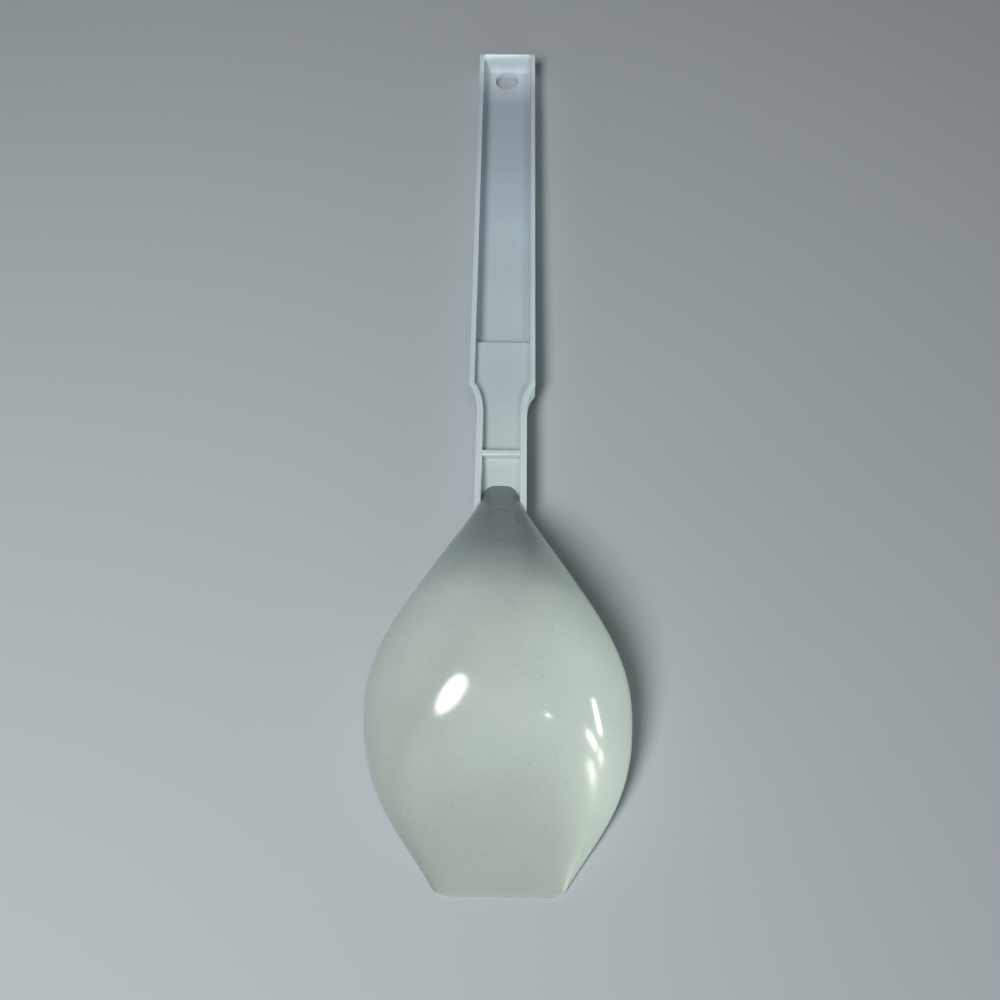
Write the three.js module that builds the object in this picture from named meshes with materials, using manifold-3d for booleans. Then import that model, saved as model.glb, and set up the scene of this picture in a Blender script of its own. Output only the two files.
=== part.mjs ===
// Plastic serving spoon lying face down: bowl, channel handle, neck pad and cross rib.
// Millimetres, +Z up, +Y towards the hanging end of the handle.
// The pieces are drawn with the handle's flat front face at z = 0 and its neck joint at y = 0,
// then the whole spoon is tipped a little, so that it rests on its front lip and its hanging end.
import * as THREE from "three";
import { mergeVertices } from "three/addons/utils/BufferGeometryUtils.js";
import Module from "manifold-3d";

const wasm = await Module();
wasm.setup();

// Handle: a channel with its open side up
const handleLength = 183;
const handleWidth = 20;
const neckWidth = 15;
const railHeight = 8.5;
const railWidth = 1.6;
const endWall = 1.6;
const floorThickness = 2.3;
const endCornerRadius = 2.2;
const shoulderNear = 30.5;
const shoulderFar = 41.2;
const shoulderAngle = THREE.MathUtils.degToRad(42);
const shoulderReach = 2.8;
const shoulderSweep = 5;
const hangHoleDiameter = 8.2;
const hangHoleInset = 7.2;

// Neck pad, with the pocket between the rib and the bowl, and the rib that stands on it
const padFar = 58.5;
const padNear = 6;
const padDepth = 2.6;
const pocketDepth = 3.7;
const ribPlace = 18;
const ribThickness = 1.7;
const ribDepth = 0.4;

// Bowl outline, seen from above
const bowlLength = 102;
const bowlWidth = 71;
const widestPlace = 56;
const flankReach = 22;
const flankAngle = THREE.MathUtils.degToRad(29);
const flankRound = 18;
const cheekRound = 23.5;
const cheekReach = 17;
const cheekAngle = THREE.MathUtils.degToRad(32.5);
const lipWidth = 26.8;
const lipCornerWidth = 3.5;
const lipCornerRun = 2;

// Bowl heights above its rim, along the middle
const crownHeight = 36;
const crownPlace = 47;
const crownRoundNeck = 27;
const crownRoundLip = 27;
const noseLength = 9.5;
const noseHeight = 4.3;
const noseSlope = 0.62;
const noseReach = 17;
const lipThickness = 2;
const lipSlope = 0.63;
const lipReach = 25;

// Bowl section: how square and how steep its arch is at the neck, round the middle and at the lip
const neckSquareness = 4;
const sideSquareness = 2.6;
const lipSquareness = 3.5;
const neckSteepness = 2.4;
const sideSteepness = 2.2;
const lipSteepness = 2.9;
const neckFade = 25;
const lipFade = 52;

// Bowl shell
const wallThickness = 2;
const rimWidth = 2;
const neckSolid = 6;
const neckBlend = 22;
const railTaper = 5;
const lipDrop = 3.9;

// Fit between pieces
const seatGap = 0.3;
const cutMargin = 5;

// Mesh fineness
const bowlSections = 44;
const sectionSteps = 24;
const curvePoints = 16;
const holeSides = 40;
const bisectionSteps = 40;
const mergeTolerance = 1e-4;

// Sizes that follow from the ones above
const handleHalf = handleWidth / 2;
const neckHalf = neckWidth / 2;
const bowlHalf = bowlWidth / 2;
const pocketHalf = neckHalf - railWidth;
const noseHalf = pocketHalf - seatGap;
const padTop = railHeight - padDepth;
const pocketFloor = railHeight - pocketDepth;

// A closed geometry becomes a solid that can be joined or cut
function solidOf(geometry) {
  const bare = geometry.clone();
  bare.deleteAttribute("normal");
  bare.deleteAttribute("uv");
  const merged = mergeVertices(bare, mergeTolerance);
  const vertProperties = new Float32Array(merged.attributes.position.array);
  const triVerts = new Uint32Array(merged.index.array);
  return new wasm.Manifold(new wasm.Mesh({ numProp: 3, vertProperties, triVerts }));
}

// A solid becomes a geometry again
function geometryOf(solid) {
  const mesh = solid.getMesh();
  const geometry = new THREE.BufferGeometry();
  geometry.setAttribute("position", new THREE.BufferAttribute(mesh.vertProperties, 3));
  geometry.setIndex(new THREE.BufferAttribute(mesh.triVerts, 1));
  geometry.computeVertexNormals();
  return geometry;
}

// A flat outline raised from one height to another
function raised(shape, bottom, top) {
  const settings = { depth: top - bottom, bevelEnabled: false, curveSegments: curvePoints };
  return new THREE.ExtrudeGeometry(shape, settings).translate(0, 0, bottom);
}

// A box given by its lowest and highest corners
function block(low, high) {
  const size = high.clone().sub(low);
  const middle = low.clone().add(high).multiplyScalar(0.5);
  return new THREE.BoxGeometry(size.x, size.y, size.z).translate(middle.x, middle.y, middle.z);
}

// The channel's outline seen from above, drawn in by an inset: each shoulder turns in sharply
// from the wide part and sweeps into the narrow neck
function channelOutline(inset, near, far) {
  const wide = handleHalf - inset;
  const narrow = neckHalf - inset;
  const corner = Math.max(endCornerRadius - inset, seatGap);
  const reach = Math.min(shoulderReach, (wide - narrow) / Math.sin(shoulderAngle));
  const turn = shoulderFar + inset * Math.tan(shoulderAngle / 2);
  const aim = new THREE.Vector2(wide - reach * Math.sin(shoulderAngle), turn - reach * Math.cos(shoulderAngle));
  const sweep = shoulderNear + shoulderSweep;
  const shape = new THREE.Shape();
  shape.moveTo(narrow, near);
  shape.lineTo(narrow, shoulderNear);
  shape.bezierCurveTo(narrow, sweep, aim.x, aim.y, wide, turn);
  shape.lineTo(wide, far - corner);
  shape.absarc(wide - corner, far - corner, corner, 0, Math.PI / 2, false);
  shape.lineTo(corner - wide, far);
  shape.absarc(corner - wide, far - corner, corner, Math.PI / 2, Math.PI, false);
  shape.lineTo(-wide, turn);
  shape.bezierCurveTo(-aim.x, aim.y, -narrow, sweep, -narrow, shoulderNear);
  shape.lineTo(-narrow, near);
  shape.closePath();
  return shape;
}

// Half of the bowl's outline, from the neck round the widest place to the straight front lip
function bowlOutline() {
  const neck = new THREE.Vector2(neckHalf, 0);
  const widest = new THREE.Vector2(bowlHalf, -widestPlace);
  const cheekEnd = new THREE.Vector2(lipWidth / 2 + lipCornerWidth, lipCornerRun - bowlLength);
  const lipEnd = new THREE.Vector2(lipWidth / 2, -bowlLength);
  const flankAim = new THREE.Vector2(Math.sin(flankAngle), -Math.cos(flankAngle)).multiplyScalar(flankReach);
  const cheekAim = new THREE.Vector2(Math.sin(cheekAngle), Math.cos(cheekAngle)).multiplyScalar(cheekReach);
  const cornerPull = new THREE.Vector2(cheekEnd.x - lipCornerRun * Math.tan(cheekAngle), -bowlLength);
  return [
    new THREE.CubicBezierCurve(
      neck,
      neck.clone().add(flankAim),
      new THREE.Vector2(bowlHalf, flankRound - widestPlace),
      widest,
    ),
    new THREE.CubicBezierCurve(
      widest,
      new THREE.Vector2(bowlHalf, -widestPlace - cheekRound),
      cheekEnd.clone().add(cheekAim),
      cheekEnd,
    ),
    new THREE.QuadraticBezierCurve(cheekEnd, cornerPull, lipEnd),
  ];
}

// The height of the bowl's back above its rim along the middle, as curves of (place, height)
function crownOutline() {
  const nose = new THREE.Vector2(noseLength, noseHeight);
  const crown = new THREE.Vector2(-crownPlace, crownHeight);
  const lip = new THREE.Vector2(-bowlLength, lipThickness);
  return [
    new THREE.CubicBezierCurve(
      nose,
      new THREE.Vector2(noseLength - noseReach, noseHeight + noseReach * noseSlope),
      new THREE.Vector2(crownRoundNeck - crownPlace, crownHeight),
      crown,
    ),
    new THREE.CubicBezierCurve(
      crown,
      new THREE.Vector2(-crownPlace - crownRoundLip, crownHeight),
      new THREE.Vector2(lipReach - bowlLength, lipThickness + lipReach * lipSlope),
      lip,
    ),
  ];
}

// Follows curves that run steadily along one coordinate and gives the other coordinate at a place
function follow(curves, axis, place) {
  const other = axis === "x" ? "y" : "x";
  const reaches = (curve) => curve.getPoint(1)[axis] <= place;
  const curve = curves.find(reaches) ?? curves[curves.length - 1];
  let low = 0;
  let high = 1;
  for (let step = 0; step < bisectionSteps; step += 1) {
    const middle = (low + high) / 2;
    if (curve.getPoint(middle)[axis] > place) low = middle;
    else high = middle;
  }
  return curve.getPoint(low)[other];
}

const outlineCurves = bowlOutline();
const crownCurves = crownOutline();

// The bowl's half width: the outline, and past the neck joint a nose that narrows between the rails
function halfWidth(y) {
  if (y < 0) return follow(outlineCurves, "y", y);
  return THREE.MathUtils.lerp(neckHalf, noseHalf, Math.min(1, y / railTaper));
}

// The rim runs level with the handle's front face at the neck and dips evenly to the lip
function rimHeight(y) {
  return lipDrop * Math.min(0, y / bowlLength);
}

// One closed section of the bowl: the back from side to side, then the inside on the way back
function bowlSection(y, grow) {
  const width = halfWidth(y) + grow;
  const crown = follow(crownCurves, "x", y) + grow;
  const rim = rimHeight(y) - grow;
  const towardsLip = THREE.MathUtils.smoothstep(-y, bowlLength - lipFade, bowlLength);
  const pastNeck = THREE.MathUtils.smoothstep(-y, 0, neckFade);
  const farSquareness = THREE.MathUtils.lerp(sideSquareness, lipSquareness, towardsLip);
  const squareness = THREE.MathUtils.lerp(neckSquareness, farSquareness, pastNeck);
  const farSteepness = THREE.MathUtils.lerp(sideSteepness, lipSteepness, towardsLip);
  const steepness = THREE.MathUtils.lerp(neckSteepness, farSteepness, pastNeck);
  const hollow = THREE.MathUtils.smoothstep(-y, neckSolid, neckSolid + neckBlend);
  const inside = Math.max(0, crown - wallThickness) * hollow;
  const points = [];
  const arch = (half, height, angle) => {
    const across = Math.abs(Math.cos(angle)) ** (2 / squareness) * Math.sign(Math.cos(angle));
    const up = Math.sin(angle) ** (2 / steepness);
    points.push(new THREE.Vector3(half * across, y, rim + height * up));
  };
  for (let step = 0; step <= sectionSteps; step += 1) arch(width, crown, (Math.PI * step) / sectionSteps);
  for (let step = sectionSteps; step >= 0; step -= 1) {
    arch(width - rimWidth, inside, (Math.PI * step) / sectionSteps);
  }
  return points;
}

// The bowl as a loft of its sections, closed at the lip and at the nose
function bowlLoft(grow) {
  const near = -bowlLength - grow;
  const far = noseLength + grow;
  const sections = [];
  for (let index = 0; index <= bowlSections; index += 1) {
    const along = (1 - Math.cos((Math.PI * index) / bowlSections)) / 2;
    const y = THREE.MathUtils.lerp(near, far, along);
    const held = THREE.MathUtils.clamp(y, -bowlLength, noseLength);
    sections.push(bowlSection(held, grow).map((point) => point.setY(y)));
  }
  const count = sections[0].length;
  const positions = sections.flat().flatMap((point) => [point.x, point.y, point.z]);
  const faces = [];
  for (let ring = 0; ring < bowlSections; ring += 1) {
    for (let side = 0; side < count; side += 1) {
      const a = ring * count + side;
      const b = ring * count + ((side + 1) % count);
      faces.push(a, b + count, b, a, a + count, b + count);
    }
  }
  const flat = (section) => section.map((point) => new THREE.Vector2(point.x, point.z));
  const last = bowlSections * count;
  for (const [i, j, k] of THREE.ShapeUtils.triangulateShape(flat(sections[0]), [])) faces.push(i, j, k);
  for (const [i, j, k] of THREE.ShapeUtils.triangulateShape(flat(sections[bowlSections]), [])) {
    faces.push(last + k, last + j, last + i);
  }
  const geometry = new THREE.BufferGeometry();
  geometry.setAttribute("position", new THREE.Float32BufferAttribute(positions, 3));
  geometry.setIndex(faces);
  return solidOf(geometry);
}

// The bowl laps over the channel's floor at the neck; grown by the gap, it is the room that it needs
function bowlBody(grow) {
  const gap = seatGap - grow;
  const low = new THREE.Vector3(-bowlHalf, -gap, -cutMargin);
  const high = new THREE.Vector3(bowlHalf, noseLength + cutMargin, floorThickness + gap);
  return bowlLoft(grow).subtract(solidOf(block(low, high)));
}

const bowlRoom = bowlBody(seatGap);

// The channel: outline, less the space between its rails, the hang hole and the bowl's seat
function handleBody() {
  const outside = solidOf(raised(channelOutline(0, 0, handleLength), 0, railHeight));
  const space = channelOutline(railWidth, -cutMargin, handleLength - endWall);
  const channel = solidOf(raised(space, floorThickness, railHeight + cutMargin));
  const holeHeight = 2 * (floorThickness + cutMargin);
  const hole = new THREE.CylinderGeometry(hangHoleDiameter / 2, hangHoleDiameter / 2, holeHeight, holeSides);
  hole.rotateX(Math.PI / 2);
  hole.translate(0, handleLength - hangHoleInset, 0);
  return outside.subtract(channel).subtract(solidOf(hole)).subtract(bowlRoom);
}

// The pad: level as far as the rib, then falling away to the bowl's nose, seen from the side
function padBody() {
  const seat = floorThickness + seatGap;
  const ribNear = ribPlace - ribThickness / 2 - seatGap;
  const side = new THREE.Shape();
  side.moveTo(padNear, seat);
  side.lineTo(padFar, seat);
  side.lineTo(padFar, padTop);
  side.lineTo(ribNear, padTop);
  side.lineTo(padNear, pocketFloor);
  side.closePath();
  const across = raised(side, -handleHalf, handleHalf);
  const turned = new THREE.Matrix4().makeBasis(
    new THREE.Vector3(0, 1, 0),
    new THREE.Vector3(0, 0, 1),
    new THREE.Vector3(1, 0, 0),
  );
  across.applyMatrix4(turned);
  const plan = raised(channelOutline(railWidth + seatGap, padNear - cutMargin, padFar), 0, railHeight);
  return solidOf(plan).intersect(solidOf(across)).subtract(bowlRoom);
}

// The rib: a bar from rail to rail
function ribShape() {
  const low = new THREE.Vector3(-noseHalf, ribPlace - ribThickness / 2, padTop + seatGap);
  const high = new THREE.Vector3(noseHalf, ribPlace + ribThickness / 2, railHeight - ribDepth);
  return block(low, high);
}

const warmWhite = new THREE.MeshStandardMaterial({ color: 0xdfe5d9, roughness: 0.25, metalness: 0 });
const coolWhite = new THREE.MeshStandardMaterial({ color: 0xd9e1e4, roughness: 0.42, metalness: 0 });

function piece(name, geometry, material) {
  const mesh = new THREE.Mesh(geometry, material);
  mesh.name = name;
  return mesh;
}

const spoon = new THREE.Group();
spoon.add(piece("bowl", geometryOf(bowlBody(0)), warmWhite));
spoon.add(piece("handle", geometryOf(handleBody()), coolWhite));
spoon.add(piece("neck_pad", geometryOf(padBody()), coolWhite));
spoon.add(piece("cross_rib", ribShape(), coolWhite));

// The spoon is tipped until its lip and its hanging end lie level, then set down over the origin
spoon.rotation.x = -Math.atan2(lipDrop, bowlLength + handleLength);
const box = new THREE.Box3().setFromObject(spoon, true);
const middle = box.getCenter(new THREE.Vector3());
spoon.position.set(-middle.x, -middle.y, -box.min.z);

export default spoon;
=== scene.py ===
# %% [markdown]
# # A plastic serving spoon
#
# The spoon lies face down, with the round back of its bowl up and its handle running away from us.
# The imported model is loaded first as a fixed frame: it says where every piece is, in metres.
# Each solid in it is then replaced by a smoother piece that is modelled here, in the same place.

# %% Load the frame
import math

import bmesh
import bpy
from mathutils import Matrix, Vector


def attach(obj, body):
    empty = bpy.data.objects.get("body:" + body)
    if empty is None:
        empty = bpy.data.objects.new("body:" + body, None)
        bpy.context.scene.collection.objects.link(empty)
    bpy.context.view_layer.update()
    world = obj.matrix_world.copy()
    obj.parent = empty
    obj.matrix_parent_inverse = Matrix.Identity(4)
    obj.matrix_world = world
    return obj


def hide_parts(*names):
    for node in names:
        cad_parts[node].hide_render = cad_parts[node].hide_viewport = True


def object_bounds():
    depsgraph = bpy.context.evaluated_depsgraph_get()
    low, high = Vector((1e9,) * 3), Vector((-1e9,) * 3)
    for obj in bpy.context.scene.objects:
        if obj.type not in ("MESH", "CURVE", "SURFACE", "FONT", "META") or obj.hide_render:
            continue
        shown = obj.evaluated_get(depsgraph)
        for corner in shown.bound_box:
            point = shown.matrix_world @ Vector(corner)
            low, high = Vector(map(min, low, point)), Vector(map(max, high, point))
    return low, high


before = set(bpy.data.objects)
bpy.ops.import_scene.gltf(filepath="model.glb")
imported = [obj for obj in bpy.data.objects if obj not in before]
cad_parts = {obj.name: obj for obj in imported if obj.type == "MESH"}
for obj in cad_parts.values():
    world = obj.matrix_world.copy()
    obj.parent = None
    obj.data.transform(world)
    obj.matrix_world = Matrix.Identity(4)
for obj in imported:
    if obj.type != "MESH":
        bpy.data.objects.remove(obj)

cad_low, cad_high = [[float(number) for number in corner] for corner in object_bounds()]
print("the frame's box runs from", cad_low, "to", cad_high)

# %% [markdown]
# ## Sizes
#
# A modeller who works from drawings writes the sizes down once and takes everything else from them.
# These are the spoon's own sizes, in metres, with the handle's flat front face at height 0 and
# the joint of bowl and handle at y = 0. A turn and a shift at the end set each piece into the frame.

# %% The spoon's sizes
MM = 0.001
handle_length = 183 * MM
handle_half = 10 * MM
neck_half = 7.5 * MM
rail_height = 8.5 * MM
rail_width = 1.6 * MM
neck_rail = 2 * MM
end_wall = 1.6 * MM
floor_thickness = 2.3 * MM
shoulder_near = 30.5 * MM
shoulder_far = 41.2 * MM
bowl_length = 102 * MM
bowl_half = 35.5 * MM
lip_drop = 3.9 * MM

tilt = math.atan2(lip_drop, bowl_length + handle_length)
far_reach = handle_length * math.cos(tilt) + rail_height * math.sin(tilt)
set_down = Matrix.Translation((0, cad_high[1] - far_reach, handle_length * math.sin(tilt)))
into_frame = set_down @ Matrix.Rotation(-tilt, 4, "X")
print("the spoon is tipped by", round(math.degrees(tilt), 3), "degrees")

# %% [markdown]
# ## Camera
#
# The view is from the lip's side and well above, so the handle narrows towards its far end.
# A round hang hole that looks oval, and a parallel handle that looks tapered, together give
# the tilt and the focal length, so the camera is set by numbers and not by eye.

# %% Camera
camera_place = Vector((2.0, -159.3, 267.8)) * MM
camera_tilt = math.radians(25.26)
camera_turn = math.radians(0.99)
camera_roll = math.radians(-0.17)

camera_data = bpy.data.cameras.new("camera")
camera_data.sensor_width = 36
camera_data.lens = 36
camera_data.clip_start = 0.01
camera = bpy.data.objects.new("camera", camera_data)
bpy.context.collection.objects.link(camera)
turned = Matrix.Rotation(camera_turn, 4, "Z") @ Matrix.Rotation(camera_tilt, 4, "X")
camera.matrix_world = Matrix.Translation(camera_place) @ turned @ Matrix.Rotation(camera_roll, 4, "Z")
bpy.context.scene.camera = camera
bpy.context.scene.view_settings.view_transform = "Standard"
print("camera at", [round(number, 4) for number in camera.location])

# %% [markdown]
# ## Shader arithmetic
#
# A plastic's colour and gloss change a little from place to place, and that takes sums of node outputs.
# Wiring Math nodes one by one is slow to read. A small class wraps an output socket instead,
# so that a sum written in Python adds its Math node by itself, and one method makes any other node.


# %% A socket that can be added and multiplied
class Wire:
    def __init__(self, tree, socket=None):
        self.tree = tree
        self.socket = socket

    def node(self, kind, settings=None, sockets=None, output=0):
        made = self.tree.nodes.new(kind)
        for name, value in (settings or {}).items():
            if name == "stops":
                while len(made.color_ramp.elements) < len(value):
                    made.color_ramp.elements.new(1.0)
                for element, (position, colour) in zip(made.color_ramp.elements, value):
                    element.position = position
                    element.color = colour
            else:
                setattr(made, name, value)
        for name, value in (sockets or {}).items():
            if isinstance(value, Wire):
                self.tree.links.new(value.socket, made.inputs[name])
            else:
                made.inputs[name].default_value = value
        return Wire(self.tree, made.outputs[output])

    def maths(self, operation, first, second):
        return self.node("ShaderNodeMath", {"operation": operation}, {0: first, 1: second})

    def __add__(self, other):
        return self.maths("ADD", self, other)

    __radd__ = __add__

    def __sub__(self, other):
        return self.maths("SUBTRACT", self, other)

    def __rsub__(self, other):
        return self.maths("SUBTRACT", other, self)

    def __mul__(self, other):
        return self.maths("MULTIPLY", self, other)

    __rmul__ = __mul__


# %% [markdown]
# ## Plastic
#
# The spoon is moulded in off-white plastic: glossy and a little warm on the bowl, cooler and more satin
# on the handle. Moulded plastic is never quite even. It has a soft cloudiness, fine scuffs from use
# and washing that dull the gloss in thin streaks, a few faint specks and a slight ripple from the mould.
# One flat colour shows none of that, so noise of several sizes goes into the colour, gloss and bump.


# %% Noise, fades and scuffs
def start_material(name):
    material = bpy.data.materials.new(name)
    material.use_nodes = True
    tree = material.node_tree
    shader = tree.nodes["Principled BSDF"]
    place = Wire(tree).node("ShaderNodeTexCoord", output="Object")
    return material, tree, shader, place


def noise(place, scale, detail, turn=(0, 0, 0), stretch=(1, 1, 1)):
    moved = place.node("ShaderNodeMapping", None, {"Vector": place, "Rotation": turn, "Scale": stretch})
    sockets = {"Vector": moved, "Scale": scale, "Detail": detail}
    return place.node("ShaderNodeTexNoise", {"noise_dimensions": "3D"}, sockets, "Fac")


def fade(value, low, high):
    stops = [(low, (0, 0, 0, 1)), (high, (1, 1, 1, 1))]
    return value.node("ShaderNodeValToRGB", {"stops": stops}, {"Fac": value}, "Color")


def scuffs(place):
    along = fade(noise(place, 1, 2, (0.2, 0.1, 0.5), (2600, 90, 300)), 0.66, 0.74)
    across = fade(noise(place, 1, 2, (0.1, 0.3, -0.9), (2300, 80, 260)), 0.67, 0.75)
    patches = fade(noise(place, 70, 2), 0.45, 0.7)
    return (along + across) * patches


def blend(place, kind, factor, first, second):
    settings = {"data_type": "RGBA", "blend_type": kind}
    return place.node("ShaderNodeMix", settings, {"Factor": factor, "A": first, "B": second}, "Result")


# %% [markdown]
# ## Where light and shade are painted
#
# Some light and shade is painted into the colour by place. The bowl is painted darker at its neck and at
# its lip, most of all in the lip's middle: painted shade. Its gloss is dulled at the lip, which scrapes
# along the pan.
# Beside the neck its rim is painted pale, a painted glow of light through the thin rim, and the tops of
# the handle's rails are painted lighter: painted light. The handle is painted lighter on its end wall
# and darker just before it. Such masks can be painted by hand. Here they are worked out from the place
# on the spoon, so they follow the sizes.

# %% Masks by place
spoon_length = cad_high[1] - cad_low[1]
rim_climb = handle_length * math.sin(tilt) * spoon_length / bowl_length
front_fall = spoon_length * math.sin(tilt)
rim_band = 5 * MM
rim_edge = (0.44, 0.6)
neck_side = (0.16, 0.28)
nose_side = (0.335, 0.355)
rail_edge = (0.82, 0.94)
lip_sides = (0.4, 0.75)
lip_zone = (0.08, 0.2)


def axis(place, letter):
    return place.node("ShaderNodeSeparateXYZ", None, {"Vector": place}, letter)


def along_spoon(place):
    sockets = {"Value": axis(place, "Y"), "From Min": cad_low[1], "From Max": cad_high[1]}
    return place.node("ShaderNodeMapRange", None, sockets)


# Where the rim beside the neck is painted pale: painted light, a glow through the thin rim.
def rim_painted_light(place):
    share = along_spoon(place)
    above_rim = axis(place, "Z") - share * rim_climb
    rim = 1 - fade(above_rim * (1 / rim_band), *rim_edge)
    return rim * fade(share, *neck_side) * (1 - fade(share, *nose_side))


# Where the tops of the handle's rails are painted lighter: painted light.
def rail_tops(place):
    front_face = (1 - along_spoon(place)) * front_fall
    return fade((axis(place, "Z") - front_face) * (1 / rail_height), *rail_edge)


# Where the lip's middle is painted darker: painted shade.
def lip_middle(place):
    x = axis(place, "X")
    outward = x.maths("ABSOLUTE", x, 0) * (1 / bowl_half)
    middle = 1 - fade(outward, *lip_sides)
    return middle * (1 - fade(along_spoon(place), *lip_zone))


print("the front face falls by", round(front_fall / MM, 2), "mm along the spoon")

# %% A plastic from noise and masks
cloud_scale = 45
grain_scale = 1500
speck_scale = 800
ripple_scale = 420
grain_depth = 0.16
speck_depth = 0.08
# How much darker the lip's middle is painted: painted shade.
lip_painted_shade = 0.16
lip_dulling = 0.22
lip_dull_zone = (0, 0.16)
cloud_gloss = 0.05
scuff_depth = 0.05
bump_height = 0.2 * MM


# The tones are steps of colour along the spoon that paint light and shade into it.
def plastic(name, pale, deep, roughness, scuffing, ripple, painted_tones, rim=None, rail_painted_light=0):
    material, tree, shader, place = start_material(name)
    cloud = fade(noise(place, cloud_scale, 3), 0.3, 0.7)
    share = along_spoon(place)
    # Painted light and shade: the colour is multiplied by tone steps along the spoon.
    painted_tone = share.node("ShaderNodeValToRGB", {"stops": painted_tones}, {"Fac": share}, "Color")
    colour_with_painted_light = blend(place, "MULTIPLY", 1.0, blend(place, "MIX", cloud, deep, pale), painted_tone)
    marks = scuffs(place)
    gloss = roughness + cloud * cloud_gloss + marks * scuffing
    if rim:
        # The rim beside the neck is painted pale: painted light.
        colour_with_painted_light = blend(place, "MIX", rim_painted_light(place), colour_with_painted_light, rim)
        # The lip's middle is painted darker: painted shade.
        colour_with_painted_light = blend(place, "MULTIPLY", 1.0, colour_with_painted_light, 1 - lip_middle(place) * lip_painted_shade)
        gloss = gloss + (1 - fade(share, *lip_dull_zone)) * lip_dulling
    # The rail tops are painted lighter: painted light.
    if rail_painted_light:
        colour_with_painted_light = blend(place, "MULTIPLY", 1.0, colour_with_painted_light, rail_tops(place) * rail_painted_light + 1)
    grain = noise(place, grain_scale, 2) * grain_depth + (1 - grain_depth / 2)
    specks = fade(noise(place, speck_scale, 0), 0.79, 0.83)
    colour = blend(place, "MULTIPLY", 1.0, colour_with_painted_light, grain - specks * speck_depth)
    rise = noise(place, ripple_scale, 2) * ripple - marks * scuff_depth
    bump_sockets = {"Height": rise, "Strength": 0.25, "Distance": bump_height}
    bump = place.node("ShaderNodeBump", None, bump_sockets)
    tree.links.new(colour.socket, shader.inputs["Base Color"])
    tree.links.new(gloss.socket, shader.inputs["Roughness"])
    tree.links.new(bump.socket, shader.inputs["Normal"])
    shader.inputs["IOR"].default_value = 1.5
    return material


# %% The two plastics
bowl_plastic = plastic(
    "bowl_plastic",
    pale=(0.596, 0.677, 0.64, 1),
    deep=(0.553, 0.634, 0.597, 1),
    roughness=0.085,
    scuffing=0.18,
    ripple=0.2,
    # The rim's pale colour is painted light, a glow through the thin rim beside the neck.
    rim=(0.88, 0.95, 0.9, 1),
    # Painted shade: the bowl is painted darker towards its neck and towards its lip, lightest past the
    # middle.
    painted_tones=[
        (0.0, (0.61, 0.605, 0.595, 1)),
        (0.05, (0.61, 0.605, 0.595, 1)),
        (0.13, (0.74, 0.735, 0.73, 1)),
        (0.24, (0.965, 0.975, 0.975, 1)),
        (0.3, (0.53, 0.565, 0.632, 1)),
        (0.345, (0.395, 0.417, 0.455, 1)),
    ],
)
handle_plastic = plastic(
    "handle_plastic",
    pale=(0.753, 0.857, 0.914, 1),
    deep=(0.696, 0.794, 0.851, 1),
    roughness=0.36,
    scuffing=0.15,
    ripple=0.3,
    # Painted light on the tops of the rails.
    rail_painted_light=0.13,
    # Painted light and shade along the handle: lighter on the end wall, darker just before it, and set
    # to match along the pad.
    painted_tones=[
        (0.4, (0.77, 0.77, 0.74, 1)),
        (0.52, (0.7, 0.716, 0.708, 1)),
        (0.74, (0.715, 0.735, 0.755, 1)),
        (0.88, (0.56, 0.568, 0.6, 1)),
        (0.93, (0.55, 0.566, 0.602, 1)),
        (0.97, (0.8, 0.79, 0.8, 1)),
    ],
)
print("materials", bowl_plastic.name, handle_plastic.name)

# %% [markdown]
# ## Modelling helpers
#
# Every long piece here is a loft: a closed ring of points that is extruded from station to station.
# By hand one would add a circle, shape it, extrude it along, shape it again, and close both ends.
# The helper does just that. A number stored on each point of the first circle is copied by every
# extrude, so each new point knows its place in the ring.


# %% Select and shape
def deselect_everything():
    if bpy.context.mode != "OBJECT":
        bpy.ops.object.mode_set(mode="OBJECT")
    bpy.ops.object.select_all(action="DESELECT")


def work_on(piece):
    deselect_everything()
    piece.select_set(True)
    bpy.context.view_layer.objects.active = piece


def shape_ring(piece, ring):
    mesh = bmesh.from_edit_mesh(piece.data)
    place = mesh.verts.layers.int["place"]
    for vert in mesh.verts:
        if vert.select:
            vert.co = ring[vert[place]]
    bmesh.update_edit_mesh(piece.data)


def select_first_ring(piece, count):
    bpy.ops.mesh.select_all(action="DESELECT")
    bpy.ops.mesh.select_mode(type="VERT")
    mesh = bmesh.from_edit_mesh(piece.data)
    mesh.verts.ensure_lookup_table()
    for vert in mesh.verts[:count]:
        vert.select = True
    mesh.select_flush(True)
    bmesh.update_edit_mesh(piece.data)


# %% Loft
def loft(name, rings):
    deselect_everything()
    count = len(rings[0])
    bpy.ops.mesh.primitive_circle_add(vertices=count, radius=handle_half, enter_editmode=True)
    piece = bpy.context.object
    piece.name = name
    piece.data.name = name
    mesh = bmesh.from_edit_mesh(piece.data)
    place = mesh.verts.layers.int.new("place")
    for index, vert in enumerate(mesh.verts):
        vert[place] = index
        vert.select = True
    mesh.select_flush(True)
    bmesh.update_edit_mesh(piece.data)
    shape_ring(piece, rings[0])
    for ring in rings[1:]:
        bpy.ops.mesh.extrude_edges_move()
        shape_ring(piece, ring)
    bpy.ops.mesh.edge_face_add()
    select_first_ring(piece, count)
    bpy.ops.mesh.edge_face_add()
    bpy.ops.mesh.select_all(action="SELECT")
    bpy.ops.mesh.normals_make_consistent(inside=False)
    bpy.ops.object.mode_set(mode="OBJECT")
    print(name, "is lofted from", len(rings), "rings of", count, "points")
    return piece


# %% Smooth, place and declare
def subdivide_surface(piece, levels):
    work_on(piece)
    bpy.ops.object.modifier_add(type="SUBSURF")
    smoother = piece.modifiers[-1]
    smoother.levels = levels
    smoother.render_levels = levels
    bpy.ops.object.modifier_apply(modifier=smoother.name)


def put_in_frame(piece):
    work_on(piece)
    piece.matrix_world = into_frame
    bpy.ops.object.transform_apply(location=True, rotation=True, scale=True)


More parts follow.
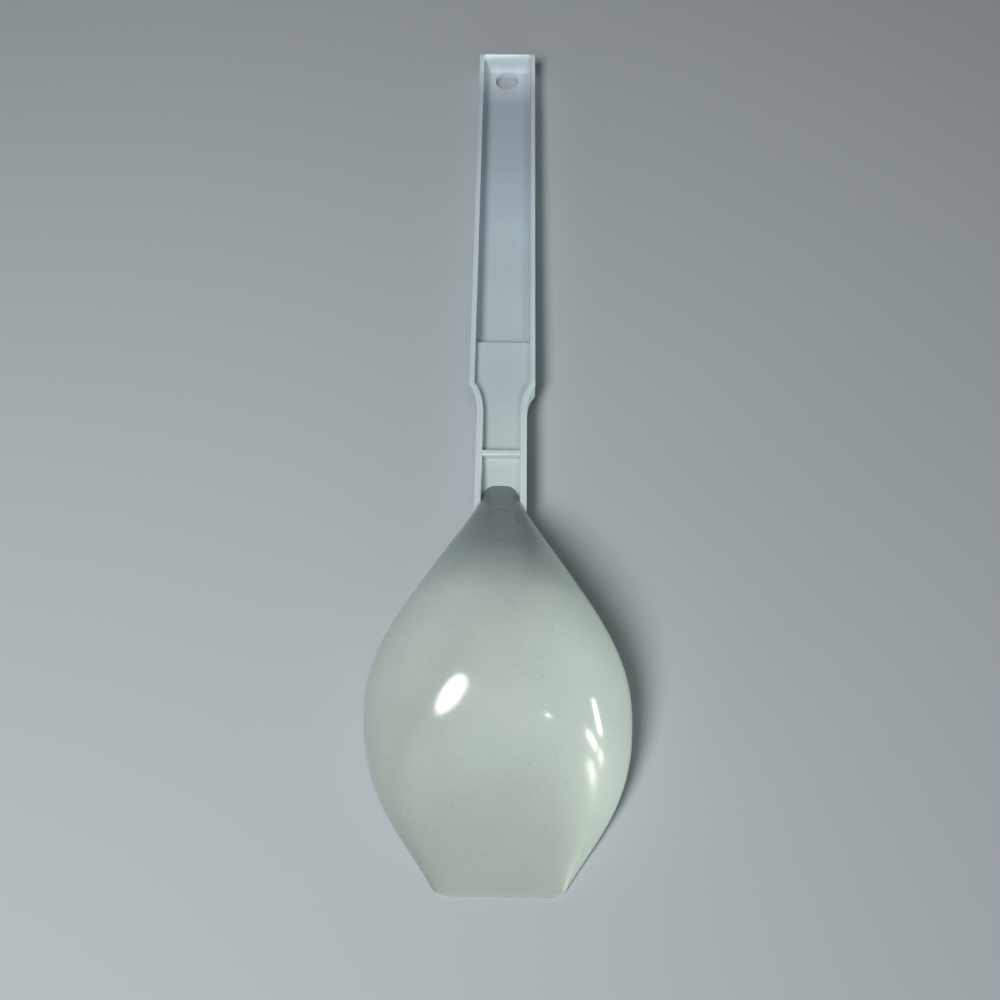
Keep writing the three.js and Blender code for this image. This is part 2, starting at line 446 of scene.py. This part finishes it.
def finish_piece(piece, node, material):
    piece.data.materials.clear()
    piece.data.materials.append(material)
    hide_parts(node)
    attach(piece, "root")
    print(piece.name, "has", len(piece.data.polygons), "faces and stands for", node)


# %% [markdown]
# ## Curves and steps
#
# The bowl's outline and its back are drawn as a few Bezier curves, as on paper. A curve is met at
# a given place along the spoon by halving the interval until the place is found. Smooth steps blend
# one shape into the next without a visible line.

# %% Bezier curves and smooth steps
halvings = 40


def mix(first, second, amount):
    return first + (second - first) * amount


def smooth_step(value, low, high):
    amount = min(1, max(0, (value - low) / (high - low)))
    return amount * amount * (3 - 2 * amount)


def bezier(points, amount):
    while len(points) > 1:
        points = [mix(first, second, amount) for first, second in zip(points, points[1:])]
    return points[0]


def follow(curves, along, place):
    curve = next((points for points in curves if points[-1][along] <= place), curves[-1])
    low, high = 0.0, 1.0
    for _ in range(halvings):
        middle = (low + high) / 2
        if bezier(curve, middle)[along] > place:
            low = middle
        else:
            high = middle
    return bezier(curve, low)[1 - along]


# %% [markdown]
# ## Bowl
#
# The bowl is one double-curved shell: straight at its front lip, widest past the middle, and drawn in
# to a blunt nose that runs in between the handle's rails. A sphere that is squeezed would give the
# wrong outline, so the bowl is lofted. Each ring runs over the back, round the full-round rim and home
# along the inside. Beside the neck the rim stands out as a thin bead, and there the inside closes too,
# because the bowl is taken as solid where it meets the handle.

# %% The bowl's outline
widest_place = 56 * MM
lip_half = 13.4 * MM
lip_corner = Vector((3.5, 2)) * MM
flank_angle = math.radians(29)
flank_reach = 22 * MM
flank_round = 18 * MM
cheek_angle = math.radians(32.5)
cheek_reach = 17 * MM
cheek_round = 23.5 * MM

flank_aim = Vector((math.sin(flank_angle), -math.cos(flank_angle))) * flank_reach
cheek_aim = Vector((math.sin(cheek_angle), math.cos(cheek_angle))) * cheek_reach
neck_point = Vector((neck_half, 0))
widest_point = Vector((bowl_half, -widest_place))
cheek_point = Vector((lip_half + lip_corner.x, lip_corner.y - bowl_length))
corner_pull = Vector((cheek_point.x - lip_corner.y * math.tan(cheek_angle), -bowl_length))
outline = [
    [neck_point, neck_point + flank_aim, widest_point + Vector((0, flank_round)), widest_point],
    [widest_point, widest_point - Vector((0, cheek_round)), cheek_point + cheek_aim, cheek_point],
    [cheek_point, corner_pull, Vector((lip_half, -bowl_length))],
]
print("half width at the widest place", follow(outline, 1, -widest_place))

# %% The line of the bowl's back
crown_height = 36 * MM
crown_place = 47 * MM
crown_round = 27 * MM
nose_length = 9.5 * MM
nose_height = 4.3 * MM
nose_slope = 0.62
nose_reach = 17 * MM
lip_thickness = 2 * MM
lip_slope = 0.63
lip_reach = 25 * MM

nose_point = Vector((nose_length, nose_height))
crown_point = Vector((-crown_place, crown_height))
lip_point = Vector((-bowl_length, lip_thickness))
nose_aim = Vector((-1, nose_slope)) * nose_reach
crown_aim = Vector((crown_round, 0))
lip_aim = Vector((1, lip_slope)) * lip_reach
back_line = [
    [nose_point, nose_point + nose_aim, crown_point + crown_aim, crown_point],
    [crown_point, crown_point - crown_aim, lip_point + lip_aim, lip_point],
]
print("height of the back at the joint", follow(back_line, 0, 0), "and at the crown", crown_height)

# %% Half width and arch of a ring
rail_taper = 5 * MM
nose_overlap = 0.05 * MM
nose_squareness = 4
nose_tip_share = 0.86
arch_steps = 48


def bowl_half_width(y):
    if y < 0:
        return follow(outline, 1, y)
    nose_half = neck_half - neck_rail + nose_overlap
    tip_round = math.sqrt(1 - (y / nose_length) ** nose_squareness * nose_tip_share)
    return mix(neck_half, nose_half, min(1, y / rail_taper)) * tip_round


def arch(half, height, base, squareness, steepness):
    points = []
    for step in range(arch_steps + 1):
        angle = math.pi * step / arch_steps
        across = math.copysign(abs(math.cos(angle)) ** (2 / squareness), math.cos(angle))
        up = max(0, math.sin(angle)) ** (2 / steepness)
        points.append((half * across, base + height * up))
    return points


# %% Rim of a ring
rim_round = 1 * MM
rim_steps = 5


def rim_arc(half, rim, inner_base, lean):
    points = []
    middle = half - rim_round
    for step in range(1, rim_steps + 1):
        angle = lean * (1 - step / rim_steps)
        points.append((middle + rim_round * math.cos(angle), rim + rim_round * (1 + math.sin(angle))))
    for step in range(1, rim_steps):
        angle = math.pi / 2 * step / rim_steps
        points.append((middle + rim_round * math.cos(angle), rim + rim_round * (1 - math.sin(angle))))
    for step in range(rim_steps):
        angle = math.pi / 2 * step / rim_steps
        drop = (inner_base - rim) * math.cos(angle)
        points.append((middle - rim_round * math.sin(angle), inner_base - drop))
    return points


# %% One ring of the bowl
wall_thickness = 2 * MM
neck_solid = 6 * MM
neck_blend = 22 * MM
neck_fade = 25 * MM
lip_fade = 52 * MM
neck_squareness = 4
side_squareness = 2.6
lip_squareness = 3.5
neck_steepness = 2.4
side_steepness = 2.2
lip_steepness = 2.9
joint_step = 0.3 * MM
side_set = 1.1 * MM
set_start = 45 * MM
bead_neck = 0.8 * MM
bead_lip = 0.08 * MM
bead_start = 12 * MM


def bowl_ring(y, squeeze=1.0, place=None):
    half = bowl_half_width(y)
    crown = follow(back_line, 0, y)
    rim = lip_drop * y / bowl_length if y < -joint_step else floor_thickness
    crown = crown if y < -joint_step else crown - floor_thickness
    past_neck = smooth_step(-y, 0, neck_fade)
    towards_lip = smooth_step(-y, bowl_length - lip_fade, bowl_length)
    squareness = mix(neck_squareness, mix(side_squareness, lip_squareness, towards_lip), past_neck)
    steepness = mix(neck_steepness, mix(side_steepness, lip_steepness, towards_lip), past_neck)
    set_over = side_set * smooth_step(-y, set_start, bowl_length)
    hollow = smooth_step(-y, neck_solid, neck_solid + neck_blend)
    inside = max(0, crown - wall_thickness) * hollow
    inner_base = rim + min(rim_round, inside)
    swell = smooth_step(-y, 0, bead_start) * (1 - smooth_step(-y, neck_fade, 2 * neck_fade))
    bead = mix(bead_lip, bead_neck, swell)
    lean = math.acos(1 - bead / rim_round)
    foot = rim_round * (1 + math.sin(lean))
    outer = arch(half - bead, crown - foot, rim + foot, squareness, steepness)
    inner_top = max(0, inside - rim_round)
    inner = arch(half - 2 * rim_round, inner_top, inner_base, squareness, steepness)
    right = rim_arc(half, rim, inner_base, lean)
    left = [(-x, z) for x, z in right]
    loop = outer + left + inner[::-1] + right[::-1]
    level = rim + crown / 2
    depth = y if place is None else place
    return [Vector((x + set_over, depth, mix(level, z, squeeze))) for x, z in loop]


print("a ring of the bowl has", len(bowl_ring(-widest_place)), "points")

# %% Loft the bowl
bowl_stations = 64
lip_round = 0.9 * MM
lip_steps = 5
lip_edge_share = 0.25

bowl_rings = []
for step in range(lip_steps):
    angle = math.pi / 2 * step / lip_steps
    lip_place = -bowl_length + lip_round * (1 - math.sin(angle))
    bowl_rings.append(bowl_ring(-bowl_length, max(lip_edge_share, math.sin(angle)), lip_place))
for station in range(1, bowl_stations + 1):
    amount = (1 - math.cos(math.pi * station / bowl_stations)) / 2
    bowl_rings.append(bowl_ring(mix(-bowl_length + lip_round, nose_length, amount)))
bowl = loft("bowl_shell", bowl_rings)
subdivide_surface(bowl, 1)
print("the bowl has", len(bowl.data.polygons), "faces")

# %% [markdown]
# ## Handle
#
# The handle is a channel that is open at the back, which keeps a plastic handle stiff and light.
# It could be cut from a bar with booleans, but then every edge would be razor sharp.
# Lofting a U-shaped ring along the handle lets each edge have its small radius: the rail tops, the
# corners of the floor, the underside, and the sweep at the end wall. Extra points just
# beside each radius keep the shading of the flat faces flat.

# %% One ring of the handle
edge_round = 0.4 * MM
under_round = 1.2 * MM
floor_round = 0.9 * MM
support = 0.15 * MM
arc_steps = 4


def corner_arc(middle, radius, start, sweep):
    points = []
    for step in range(arc_steps + 1):
        angle = math.radians(start + sweep * step / arc_steps)
        points.append((middle[0] + radius[0] * math.cos(angle), middle[1] + radius[1] * math.sin(angle)))
    return points


def handle_ring(y, outer, inner, floor, top, under):
    drop = max(top - floor, 0)
    edge = min(edge_round, drop / 3)
    fillet = min(floor_round, drop / 3)
    bottom = corner_arc((outer - under_round, under + under_round), (under_round, under_round), -90, 90)
    outside = corner_arc((outer - edge_round, top - edge_round), (edge_round, edge_round), 0, 90)
    inside = corner_arc((inner + edge_round, top - edge), (edge_round, edge), 90, 90)
    corner = corner_arc((inner - floor_round, floor + fillet), (floor_round, fillet), 0, -90)
    half = [(outer - under_round - support, under)] + bottom + [(outer, under + under_round + support)]
    half += outside + inside + [(inner, top - edge - min(support, drop / 9))]
    half += corner + [(inner - floor_round - support, floor)]
    mirrored = [(-x, z) for x, z in half[::-1]]
    return [Vector((x, y, z)) for x, z in [(0, under)] + half + [(0, floor)] + mirrored]


# %% Neck, shoulders and grip
shoulder_angle = math.radians(42)
shoulder_reach = 2.8 * MM
shoulder_sweep = 5 * MM
shoulder_steps = 16
neck_stations = (-3.5 * MM, 0, 10 * MM, 20 * MM)
grip_stations = (60 * MM, 90 * MM, 120 * MM, 150 * MM, 170 * MM)
grip_inner = handle_half - rail_width
handle_rings = []


def add_ring(y, outer, inner, floor=floor_thickness, top=rail_height, under=0):
    handle_rings.append(handle_ring(y, outer, inner, floor, top, under))


def shoulder_curve(inset):
    turn = shoulder_far + inset * math.tan(shoulder_angle / 2)
    reach = Vector((math.sin(shoulder_angle), math.cos(shoulder_angle))) * shoulder_reach
    wide = Vector((handle_half - inset, turn))
    narrow = Vector((neck_half - inset * neck_rail / rail_width, shoulder_near))
    return [wide, wide - reach, narrow + Vector((0, shoulder_sweep)), narrow]


def side_of_channel(y, inset):
    curve = shoulder_curve(inset)
    if y >= curve[0].y:
        return curve[0].x
    if y <= curve[-1].y:
        return curve[-1].x
    return follow([curve], 1, y)


for y in neck_stations:
    add_ring(y, neck_half, neck_half - neck_rail)
for step in range(shoulder_steps + 2):
    y = mix(shoulder_near, shoulder_far + rail_width, step / (shoulder_steps + 1))
    add_ring(y, side_of_channel(y, 0), side_of_channel(y, rail_width))
for y in grip_stations:
    add_ring(y, handle_half, grip_inner)
print("rings up to the end wall", len(handle_rings))

# %% End wall
end_corner = 1.2 * MM
inner_corner = 1.4 * MM
corner_overrun = 0.2
end_run = 2.2 * MM
end_rise = 3.6 * MM
end_edge = 0.8 * MM
end_top_share = 0.5
end_steps = 8
wall_slope = 0.7 * MM
wall_top_share = 0.9
wall_foot = handle_length - end_wall
inner_end = wall_foot + inner_corner * corner_overrun


def rounded_end(y, half, end, radius):
    into = max(0, y - (end - radius))
    return half - radius + math.sqrt(max(radius * radius - into * into, 0))


def outer_end(y):
    return rounded_end(y, handle_half, handle_length, end_corner)


for step in range(end_steps + 1):
    angle = math.pi / 2 * step / end_steps
    y = wall_foot - end_run * (1 - math.sin(angle))
    floor = floor_thickness + end_rise * (1 - math.cos(angle))
    add_ring(y, outer_end(y), rounded_end(y, grip_inner, inner_end, inner_corner), floor)
wall_inner = rounded_end(wall_foot, grip_inner, inner_end, inner_corner)
for amount in (0.5, 1.0):
    y = wall_foot + wall_slope * amount
    floor = mix(floor_thickness + end_rise, rail_height - edge_round, amount)
    add_ring(y, outer_end(y), wall_inner, floor)
for step in range(1, arc_steps + 1):
    angle = math.pi / 2 * step / arc_steps
    y = wall_foot + wall_slope + edge_round * math.sin(angle) * wall_top_share
    floor = rail_height - edge_round * (1 - math.sin(angle))
    add_ring(y, outer_end(y), wall_inner, floor)
for step in range(arc_steps + 1):
    angle = math.pi / 2 * step / arc_steps
    y = handle_length - end_edge * (1 - math.sin(angle))
    sink = end_edge * (1 - math.cos(angle))
    top = rail_height - sink * end_top_share
    add_ring(y, outer_end(y), wall_inner - end_edge, top, top, sink)
handle = loft("handle_channel", handle_rings)

# %% [markdown]
# ## Hang hole
#
# The hole goes through the floor near the end wall. A moulded hole has no sharp rim, so the cutter is
# not a plain cylinder: it flares at both faces of the floor, and the cut leaves rounded rims.
# Its points stand half a step off the middle line, where the handle has an edge of its own.

# %% Cut the hang hole
hole_radius = 4.1 * MM
hole_inset = 7.2 * MM
hole_edge = 0.2 * MM
hole_sides = 72
cut_past = 1 * MM
handle_crease = math.radians(32)


def cut_away(piece, tool):
    work_on(piece)
    bpy.ops.object.modifier_add(type="BOOLEAN")
    cut = piece.modifiers[-1]
    cut.operation = "DIFFERENCE"
    cut.solver = "EXACT"
    cut.object = tool
    bpy.ops.object.modifier_apply(modifier=cut.name)
    bpy.data.objects.remove(tool)
    work_on(piece)


def hole_ring(height, radius):
    ring = []
    for side in range(hole_sides):
        angle = 2 * math.pi * (side + 0.5) / hole_sides
        y = handle_length - hole_inset + radius * math.sin(angle)
        ring.append(Vector((radius * math.cos(angle), y, height)))
    return ring


flare = [math.radians(90 * step / arc_steps) for step in range(arc_steps + 1)]
hole_rings = [hole_ring(-cut_past, hole_radius + hole_edge)]
for angle in flare:
    spread = hole_edge * (1 - math.sin(angle))
    hole_rings.append(hole_ring(hole_edge * (1 - math.cos(angle)), hole_radius + spread))
for angle in reversed(flare):
    spread = hole_edge * (1 - math.sin(angle))
    height = floor_thickness - hole_edge * (1 - math.cos(angle))
    hole_rings.append(hole_ring(height, hole_radius + spread))
hole_rings.append(hole_ring(floor_thickness + cut_past, hole_radius + hole_edge))

cut_away(handle, loft("hole_cutter", hole_rings))
bpy.ops.object.shade_smooth_by_angle(angle=handle_crease)
put_in_frame(handle)
finish_piece(handle, "handle", handle_plastic)

# %% [markdown]
# ## Neck pad
#
# In the neck the channel is filled by a raised pad. It starts with a step in the middle of the handle,
# follows the shoulders and falls away past a low rib to the bowl's nose. A cube would not follow the
# shoulders, so the pad is lofted like the handle, with a small hollow radius where it meets the rails.

# %% Rings of the pad
pad_far = 58.5 * MM
pad_near = 3 * MM
step_depth = 2.8 * MM
pad_depth = 3.5 * MM
pocket_start = 2.8 * MM
pocket_depth = 3.9 * MM
pocket_near = 6 * MM
rib_place = 18 * MM
pad_round = 0.45 * MM
hollow_round = 0.3 * MM
pad_overlap = 0.05 * MM


def pad_top(y):
    if y > rib_place:
        depth = mix(pad_depth, step_depth, (y - rib_place) / (pad_far - rib_place))
    else:
        depth = mix(pocket_start, pocket_depth, (rib_place - y) / (rib_place - pocket_near))
    return rail_height - depth


def pad_ring(y, sink=0.0):
    half = side_of_channel(y, rail_width) + pad_overlap
    top = pad_top(y) - sink
    corner = corner_arc((half - hollow_round, top + hollow_round), (hollow_round, hollow_round), 0, -90)
    right = [(half, floor_thickness)] + corner + [(half - hollow_round - support, top)]
    left = [(-x, z) for x, z in right[::-1]]
    return [Vector((x, y, z)) for x, z in right + [(0, top)] + left]


print("height of the pad at its step", pad_top(pad_far), "and in the pocket", pad_top(pocket_near))

# %% Loft the pad
far_stations = (pad_far - pad_round - support, 50 * MM, shoulder_far + 2 * rail_width)
pocket_stations = (24 * MM, rib_place + pad_round, rib_place - pad_round, 14 * MM, 9 * MM, pad_near)

pad_rings = []
for step in range(arc_steps + 1):
    angle = math.pi / 2 * step / arc_steps
    y = pad_far - pad_round * (1 - math.cos(angle))
    pad_rings.append(pad_ring(y, pad_round * (1 - math.sin(angle))))
pad_rings += [pad_ring(y) for y in far_stations]
for step in range(shoulder_steps + 2):
    y = mix(shoulder_far + rail_width, shoulder_near, step / (shoulder_steps + 1))
    pad_rings.append(pad_ring(y))
pad_rings += [pad_ring(y) for y in pocket_stations]
pad = loft("neck_pad_plate", pad_rings)

# %% [markdown]
# ## Mould marks
#
# The pins that push the warm spoon out of its mould leave faint rings, one on the pad and one in the
# pocket. A smaller ring on the bowl's neck is most likely where the plastic ran into the mould. They
# could be a bump in the material. A thin torus that is cut away leaves each as a real groove instead.

# %% Rings in the pad
groove_half = 0.2 * MM
groove_lift = 0.11 * MM
pad_crease = math.radians(35)
pad_mark = Vector((0.66, 33.1)) * MM
pad_mark_radius = 2.1 * MM
pocket_mark = Vector((0.48, 13.4)) * MM
pocket_mark_radius = 2.4 * MM
pad_tilt = math.atan2(pad_depth - step_depth, pad_far - rib_place)
pocket_tilt = math.atan2(pocket_depth - pocket_start, rib_place - pocket_near)


def press_ring(piece, place, slope, radius):
    deselect_everything()
    bpy.ops.mesh.primitive_torus_add(
        location=place + Vector((0, 0, groove_lift)),
        rotation=(slope, 0, 0),
        major_radius=radius,
        minor_radius=groove_half,
        major_segments=48,
        minor_segments=12,
    )
    cut_away(piece, bpy.context.object)


press_ring(pad, Vector((*pad_mark, pad_top(pad_mark.y))), pad_tilt, pad_mark_radius)
press_ring(pad, Vector((*pocket_mark, pad_top(pocket_mark.y))), pocket_tilt, pocket_mark_radius)
bpy.ops.object.shade_smooth_by_angle(angle=pad_crease)
put_in_frame(pad)
finish_piece(pad, "neck_pad", handle_plastic)

# %% Ring in the bowl's neck
gate_side = 0.8 * MM
gate_place = -4 * MM
gate_reach = 1.3 * MM
gate_base = follow(back_line, 0, gate_place)
gate_tilt = math.atan2(follow(back_line, 0, gate_place + gate_reach) - gate_base, gate_reach)
gate_top = gate_base + lip_drop * gate_place / bowl_length
press_ring(bowl, Vector((gate_side, gate_place, gate_top)), gate_tilt, gate_reach)
bpy.ops.object.shade_smooth()
put_in_frame(bowl)
finish_piece(bowl, "bowl", bowl_plastic)

# %% [markdown]
# ## Cross rib
#
# The rib stiffens the neck. It is a bar between the rails that stands on the pad, a little lower
# than the rail tops. A cube is the right start for it, and a bevel eases its edges as a mould does.

# %% The rib
rib_thickness = 1.7 * MM
rib_depth = 0.4 * MM
rib_sunk = 0.4 * MM
rib_edge = 0.3 * MM
rib_low = rail_height - pad_depth - rib_sunk
rib_high = rail_height - rib_depth
rib_half = neck_half - neck_rail + rib_sunk

deselect_everything()
bpy.ops.mesh.primitive_cube_add(size=1, location=(0, rib_place, (rib_low + rib_high) / 2))
rib = bpy.context.object
rib.name = "neck_rib_bar"
rib.data.name = "neck_rib_bar"
rib.scale = (2 * rib_half, rib_thickness, rib_high - rib_low)
bpy.ops.object.transform_apply(location=True, rotation=True, scale=True)
bpy.ops.object.mode_set(mode="EDIT")
bpy.ops.mesh.select_all(action="SELECT")
bpy.ops.mesh.bevel(offset=rib_edge, segments=4, affect="EDGES")
bpy.ops.object.mode_set(mode="OBJECT")
bpy.ops.object.shade_smooth_by_angle(angle=pad_crease)
put_in_frame(rib)
finish_piece(rib, "cross_rib", handle_plastic)

# %% [markdown]
# ## Floor and light
#
# The floor is a plain pale sheet. One soft oval lamp stands to the left on the camera's side: it casts
# the shadows to the right and shows in the bowl as a slanted highlight. Daylight from a window on the
# right lights the bowl's other flank, and the window's panes show there as a few soft streaks.
# The broad lights are kept out of the gloss and the panes out of the shade, so each can be set alone.
# Three of the lights reach only some pieces, as with a card in front of a studio lamp: the low side
# lights stay off the floor, and the one from above lifts the shade inside the handle's channel.

# %% Floor
floor_size = 4
floor_material = bpy.data.materials.new("floor")
floor_material.use_nodes = True
floor_shader = floor_material.node_tree.nodes["Principled BSDF"]
floor_shader.inputs["Base Color"].default_value = (0.545, 0.595, 0.635, 1)
floor_shader.inputs["Roughness"].default_value = 0.9
floor_shader.inputs["Specular IOR Level"].default_value = 0
deselect_everything()
bpy.ops.mesh.primitive_plane_add(size=floor_size)
ground = bpy.context.object
ground.name = "floor"
ground.data.materials.append(floor_material)
print("the floor is", floor_size, "m wide")

# %% Kinds of lamp
bowl_middle = Vector((0, -0.09, 0.02))
pane_distance = 0.9
room_distance = 2
warm = (1, 1, 0.985)
cool = (0.97, 0.99, 1)
daylight = (0.95, 1, 0.9)


def aim(name, data, direction, distance, turn=0):
    lamp = bpy.data.objects.new(name, data)
    bpy.context.collection.objects.link(lamp)
    away = Vector(direction).normalized()
    lamp.location = bowl_middle + away * distance
    facing = away.to_track_quat("Z", "Y").to_matrix() @ Matrix.Rotation(math.radians(turn), 3, "Z")
    lamp.rotation_euler = facing.to_euler()
    return lamp


def soft_lamp(name, shape, direction, distance, size, power, colour, turn=0):
    data = bpy.data.lights.new(name, "AREA")
    data.shape = shape
    data.size, data.size_y = size
    data.energy = power
    data.color = colour
    return aim(name, data, direction, distance, turn)


def room_light(name, direction, spread, strength, colour):
    data = bpy.data.lights.new(name, "SUN")
    data.angle = math.radians(spread)
    data.energy = strength
    data.color = colour
    lamp = aim(name, data, direction, room_distance)
    lamp.visible_glossy = False
    return lamp


def keep_to(lamp, pieces):
    lit = bpy.data.collections.new(lamp.name + "_pieces")
    for piece in pieces:
        lit.objects.link(piece)
    lamp.light_linking.receiver_collection = lit


def window_pane(name, direction, size, power, turn=0):
    lamp = soft_lamp(name, "RECTANGLE", direction, pane_distance, size, power, daylight, turn)
    lamp.visible_diffuse = False


# %% Lamps
soft_lamp("key", "ELLIPSE", (-0.41, -0.41, 1.0), 0.6, (0.17, 0.33), 2.62, warm, turn=19)
room_light("front", (0.1, -1.0, 0.2), 22, 0.22, daylight)
room_light("fill", (-0.8, -0.5, 0.15), 22, 0.2, cool)
keep_to(room_light("bowl_side", (0.8, -0.6, 0.07), 8, 3.45, daylight), [bowl])
keep_to(room_light("rail_side", (0.8, -0.6, 0.07), 8, 1.5, daylight), [handle, pad, rib])
keep_to(room_light("overhead", (0.35, -0.85, 1.0), 16, 0.6, cool), [handle, pad, rib])
window_pane("spark", (0.332, -0.576, 0.747), (0.008, 0.008), 0.2)
window_pane("wide_pane", (0.965, -0.21, 0.26), (0.3, 0.09), 2.6, turn=30)
window_pane("tall_pane", (0.82, -0.53, 0.31), (0.09, 0.2), 1.5)
window_pane("small_pane", (0.84, -0.54, 0.07), (0.12, 0.07), 0.6)
window_pane("near_pane", (0.665, -0.738, 0.113), (0.09, 0.15), 1.0)

# %% [markdown]
# ## Room
#
# The room itself gives little light, so that the shadows stay deep. Where a camera looks past the
# edge of the floor it should not meet a black hole, so rays from the camera find a plain grey
# backdrop, and so do the rays that gloss sends back or a clear material would let through.

# %% Room
backdrop_share = 0.2
room_share = 0.105
world = bpy.data.worlds.new("room")
bpy.context.scene.world = world
world.use_nodes = True
background = world.node_tree.nodes["Background"]
background.inputs["Color"].default_value = (0.96, 1, 0.96, 1)


def rays(kind):
    return Wire(world.node_tree).node("ShaderNodeLightPath", output=kind)


seen = rays("Is Camera Ray") + rays("Is Glossy Ray") + rays("Is Transmission Ray")
strength = room_share + seen * (backdrop_share - room_share)
world.node_tree.links.new(strength.socket, background.inputs["Strength"])
print("the room gives", room_share, "and the backdrop shows as", backdrop_share)
